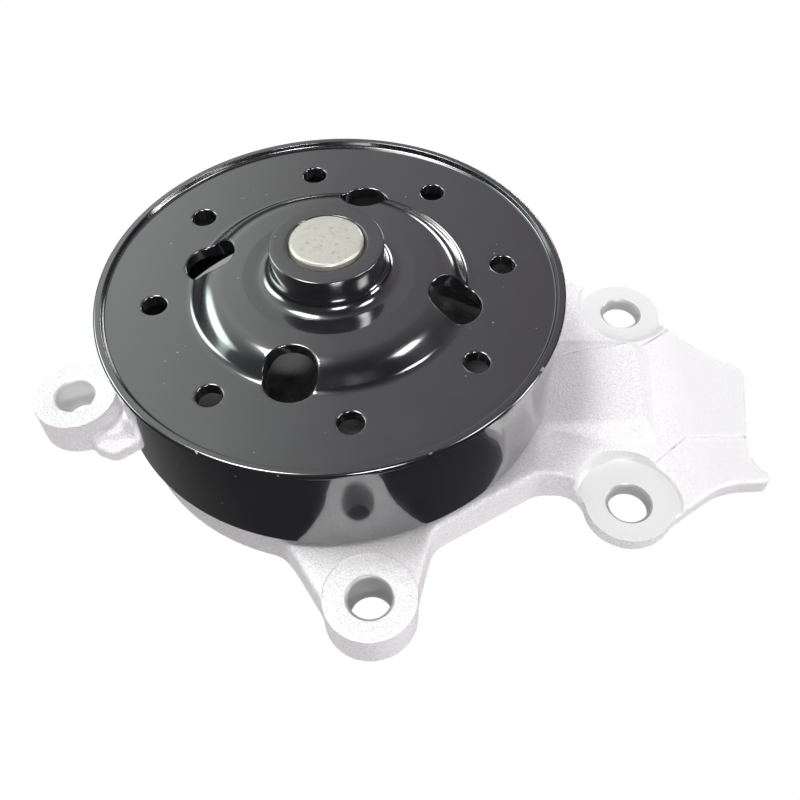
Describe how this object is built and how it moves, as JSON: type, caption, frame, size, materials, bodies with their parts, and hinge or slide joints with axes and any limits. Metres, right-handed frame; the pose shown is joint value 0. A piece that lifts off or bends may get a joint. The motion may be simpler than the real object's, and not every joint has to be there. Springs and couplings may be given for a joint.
{
  "type": "engine coolant pump",
  "caption": "Engine coolant pump with a cast aluminium body, a black smooth belt pulley on a ball-bearing shaft, and a face-sealed impeller.",
  "frame": {"origin": "on the pump's axis, in the plane of the flange's sealing face", "axes": "+Z along the shaft, away from the engine, towards the pulley; +X towards the casting's long wing"},
  "size_m": [0.1737, 0.1396, 0.0781],
  "materials": {
    "cast_aluminium": "as cast, shot blasted, machined on its faces",
    "gasket_rubber": "matte",
    "bearing_steel": "ground",
    "lip_seal_rubber": "matte",
    "ball_steel": "polished",
    "cage_nylon": "moulded",
    "shaft_steel": "ground",
    "pulley_paint": "gloss black on pressed steel",
    "seal_rubber": "matte",
    "seal_steel": "pressed, bright",
    "carbon": "lapped carbon",
    "seat_ceramic": "lapped ceramic",
    "impeller_steel": "pressed, zinc coated"
  },
  "bodies": {
    "housing": {"pump_body": "cast_aluminium", "flange_gasket": "gasket_rubber", "bearing_ring": "bearing_steel", "bearing_seal_front": "lip_seal_rubber", "bearing_seal_rear": "lip_seal_rubber", "seal_cup": "seal_steel", "seal_bellows": "seal_rubber", "seal_spring": "seal_steel", "spring_seat": "seal_steel", "carbon_ring": "carbon"},
    "rotor": {"pump_shaft": "shaft_steel", "pulley": "pulley_paint", "slinger": "seal_rubber", "seat_ring": "seat_ceramic", "seat_boot": "seal_rubber", "seat_sleeve": "seal_steel", "impeller": "impeller_steel"},
    "front_row": {"balls_front": "ball_steel", "ball_cage_front": "cage_nylon"},
    "rear_row": {"balls_rear": "ball_steel", "ball_cage_rear": "cage_nylon"}
  },
  "joints": [
    {"name": "rotor_spin", "type": "hinge", "parent": "housing", "child": "rotor", "pos_m": [0, 0, 0.019], "axis": [0, 0, 1], "continuous": true},
    {"name": "front_row_spin", "type": "hinge", "parent": "housing", "child": "front_row", "pos_m": [0, 0, 0.028], "axis": [0, 0, 1], "continuous": true},
    {"name": "rear_row_spin", "type": "hinge", "parent": "housing", "child": "rear_row", "pos_m": [0, 0, 0.01], "axis": [0, 0, 1], "continuous": true}
  ],
  "couplings": [
    {"joint": "front_row_spin", "follows": "rotor_spin", "ratio": 0.3667},
    {"joint": "rear_row_spin", "follows": "rotor_spin", "ratio": 0.3667}
  ]
}
